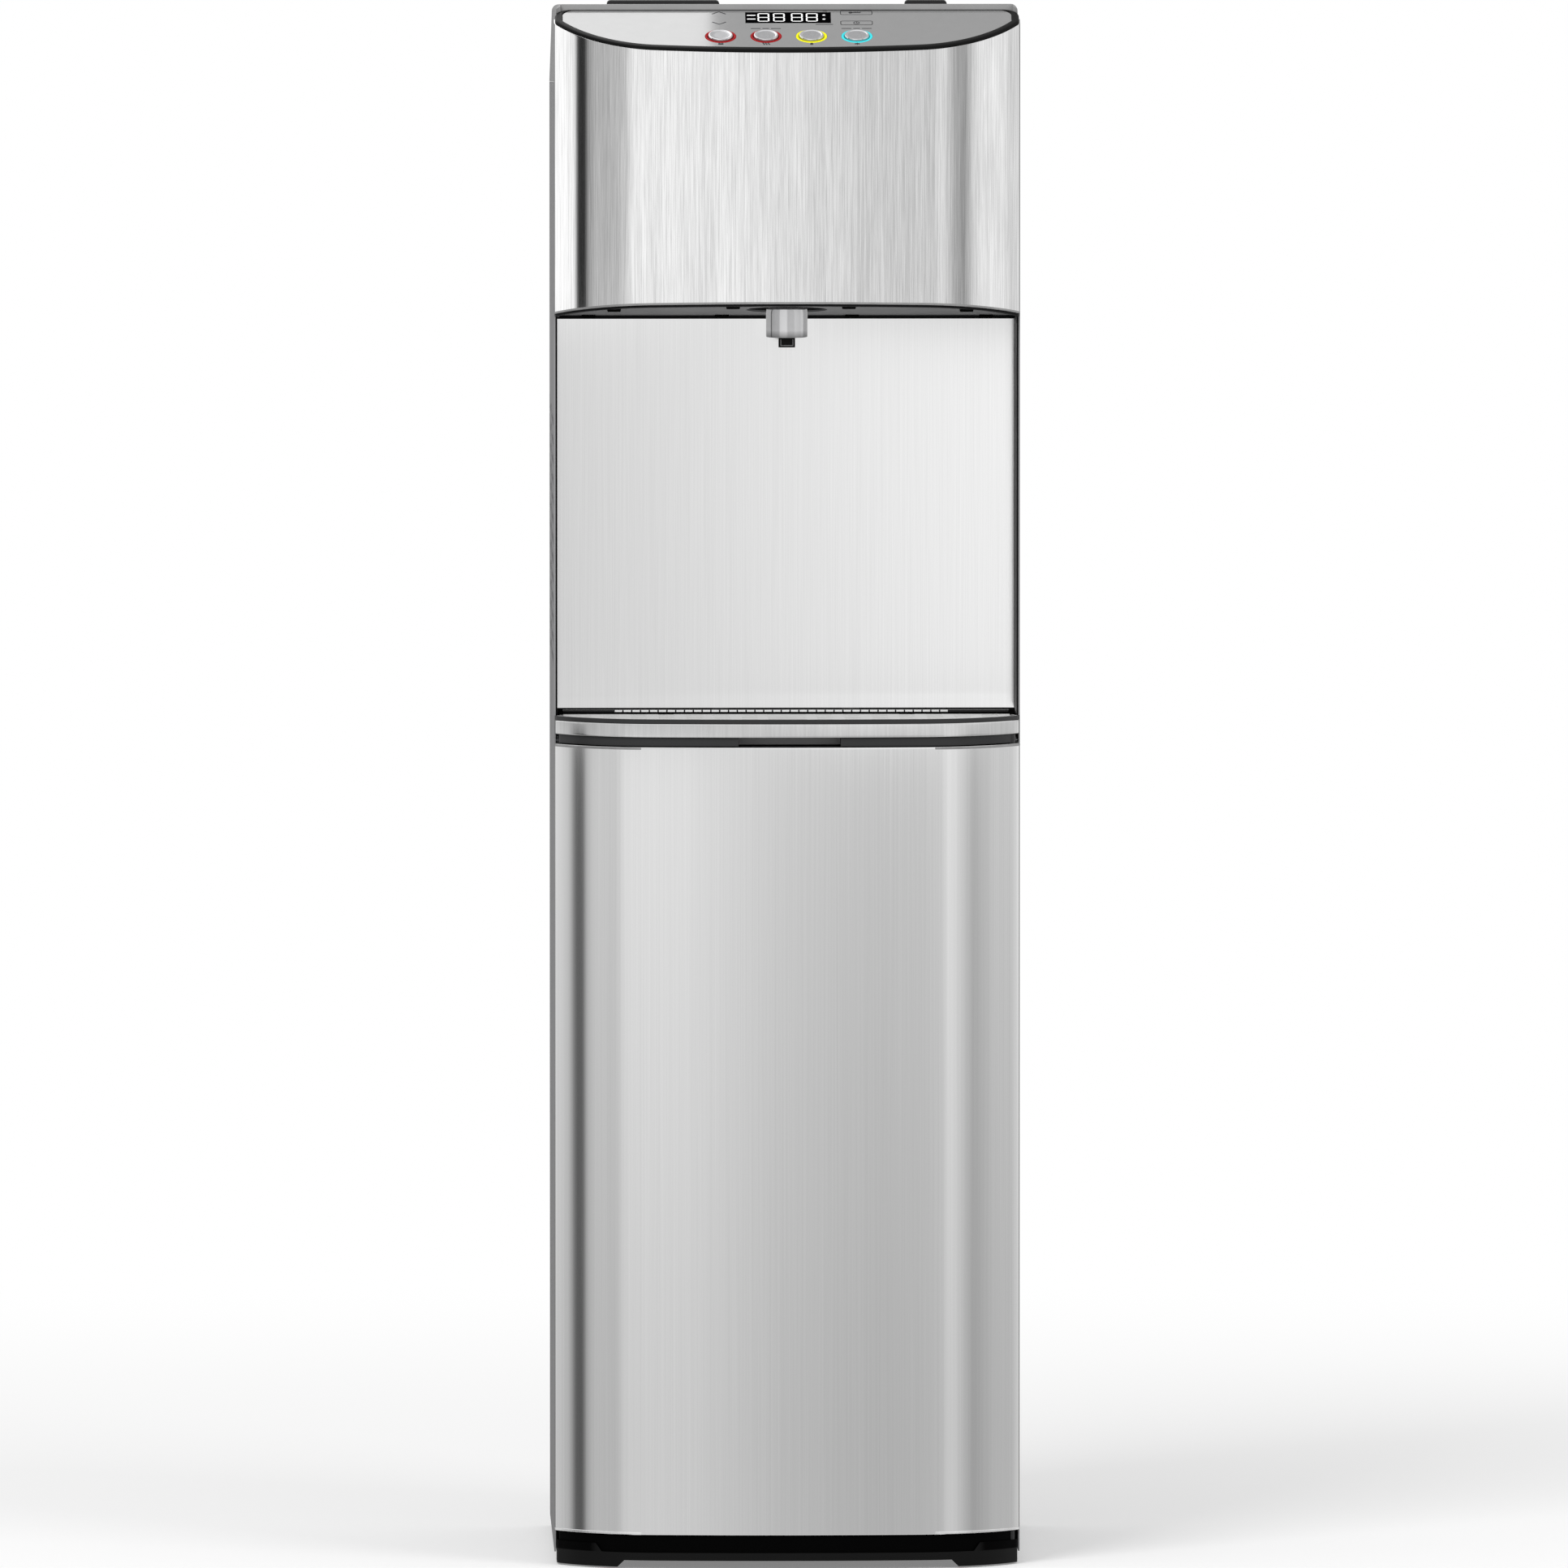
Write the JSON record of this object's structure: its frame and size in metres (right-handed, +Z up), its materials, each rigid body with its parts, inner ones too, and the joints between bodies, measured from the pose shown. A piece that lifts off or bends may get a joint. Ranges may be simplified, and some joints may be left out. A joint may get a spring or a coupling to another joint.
{
  "type": "bottom load water cooler",
  "caption": "Free-standing water cooler with a bottle bay behind a hinged lower door, a full-width dispensing alcove, a sliding drip tray and a sloping control panel.",
  "frame": {"origin": "on the floor under the middle of the cooler's overall width and depth", "axes": "+Z up, the door and spout face -Y, +X to the right of a person who faces the cooler"},
  "size_m": [0.3102, 0.36, 1.04],
  "materials": {
    "brushed_stainless": "vertical brushed grain, satin",
    "painted_sheet": "fine satin paint",
    "deck_sheet": "zinc plated sheet",
    "black_moulding": "fine texture, satin",
    "black_gloss": "semi gloss",
    "grey_moulding": "fine texture, satin",
    "canopy_grey": "fine texture, matte",
    "grille_grey": "satin",
    "panel_film": "satin film with printed keys",
    "display": "gloss window with white digits",
    "lit_ring": "lit ring, red, red, yellow and cyan",
    "silver_key": "silver coated key",
    "spout_metal": "satin plated",
    "tank_steel": "plain",
    "foam": "foam beads",
    "heater": "plain",
    "compressor_paint": "semi gloss black",
    "rubber": "matte",
    "copper": "copper tube",
    "circuit_board": "circuit board with parts",
    "valve_plastic": "plain natural",
    "hose": "translucent silicone tube",
    "liner_plastic": "fine texture",
    "hinge_steel": "plated pin",
    "condenser_black": "black enamel"
  },
  "bodies": {
    "root": {"base": "black_moulding", "foot_pads": "rubber", "side_panel_left": "painted_sheet", "side_panel_right": "painted_sheet", "rear_panel": "painted_sheet", "mid_deck": "deck_sheet", "tank_shelf": "deck_sheet", "front_posts": "black_moulding", "bottle_plate": "black_moulding", "probe_hanger": "black_moulding", "hinge_pins": "hinge_steel", "tray_shelf": "black_moulding", "alcove_plate": "brushed_stainless", "alcove_liner": "black_moulding", "upper_fascia": "brushed_stainless", "fascia_carrier": "black_moulding", "canopy_plate": "canopy_grey", "top_cover": "grey_moulding", "panel_rim": "black_gloss", "control_panel": "panel_film", "display_window": "display", "button_rings": "lit_ring", "control_board": "circuit_board", "spout_shell": "spout_metal", "spout_nozzle": "black_moulding", "dispense_manifold": "valve_plastic", "solenoid_valves": "valve_plastic", "cold_tank": "tank_steel", "hot_tank": "tank_steel", "tank_insulation": "foam", "tank_heater": "heater", "compressor": "compressor_paint", "compressor_mounts": "rubber", "water_pump": "valve_plastic", "power_board": "circuit_board", "water_lines": "hose", "refrigerant_line": "copper", "condenser_coil": "condenser_black", "condenser_wires": "condenser_black", "condenser_brackets": "black_moulding", "power_inlet": "black_moulding", "switch_housing": "black_moulding", "drain_outlet": "valve_plastic", "wall_spacers": "black_moulding"},
    "door": {"door_skin": "brushed_stainless", "door_caps": "black_moulding", "door_liner": "liner_plastic", "door_gasket": "rubber"},
    "tray": {"drip_tray": "black_moulding", "tray_band": "brushed_stainless"},
    "grille": {"drip_grille": "grille_grey"},
    "key_lock": {"button_lock": "silver_key"},
    "key_hot": {"button_hot": "silver_key"},
    "key_room": {"button_room": "silver_key"},
    "key_cold": {"button_cold": "silver_key"},
    "switch_light": {"rocker_light": "black_gloss"},
    "switch_hot": {"rocker_hot": "black_gloss"},
    "switch_cold": {"rocker_cold": "black_gloss"},
    "drain_plug": {"drain_cap": "black_moulding"},
    "probe": {"bottle_probe": "valve_plastic"}
  },
  "joints": [
    {"name": "door_hinge", "type": "hinge", "parent": "root", "child": "door", "pos_m": [0.149, -0.137, 0.285], "axis": [0, 0, 1], "range_deg": [0, 105]},
    {"name": "tray_slide", "type": "slide", "parent": "root", "child": "tray", "axis": [0, -1, 0], "range_m": [0, 0.1]},
    {"name": "grille_lift", "type": "slide", "parent": "tray", "child": "grille", "axis": [0, 0, 1], "range_m": [0, 0.04]},
    {"name": "lock_press", "type": "slide", "parent": "root", "child": "key_lock", "axis": [0, 0.3665, -0.9304], "range_m": [0, 0.0015], "stiffness_N_per_m": 400, "springref_m": -0.002},
    {"name": "hot_press", "type": "slide", "parent": "root", "child": "key_hot", "axis": [0, 0.3665, -0.9304], "range_m": [0, 0.0015], "stiffness_N_per_m": 400, "springref_m": -0.002},
    {"name": "room_press", "type": "slide", "parent": "root", "child": "key_room", "axis": [0, 0.3665, -0.9304], "range_m": [0, 0.0015], "stiffness_N_per_m": 400, "springref_m": -0.002},
    {"name": "cold_press", "type": "slide", "parent": "root", "child": "key_cold", "axis": [0, 0.3665, -0.9304], "range_m": [0, 0.0015], "stiffness_N_per_m": 400, "springref_m": -0.002},
    {"name": "light_rock", "type": "hinge", "parent": "root", "child": "switch_light", "pos_m": [-0.06, 0.167, 0.716], "axis": [1, 0, 0], "range_deg": [-16, 0]},
    {"name": "hot_rock", "type": "hinge", "parent": "root", "child": "switch_hot", "pos_m": [-0.084, 0.167, 0.716], "axis": [1, 0, 0], "range_deg": [-16, 0]},
    {"name": "cold_rock", "type": "hinge", "parent": "root", "child": "switch_cold", "pos_m": [-0.108, 0.167, 0.716], "axis": [1, 0, 0], "range_deg": [-16, 0]},
    {"name": "drain_unscrew", "type": "slide", "parent": "root", "child": "drain_plug", "axis": [0, 1, 0], "range_m": [0, 0.02]},
    {"name": "probe_lift", "type": "slide", "parent": "root", "child": "probe", "axis": [0, 0, 1], "range_m": [0, 0.028]}
  ]
}
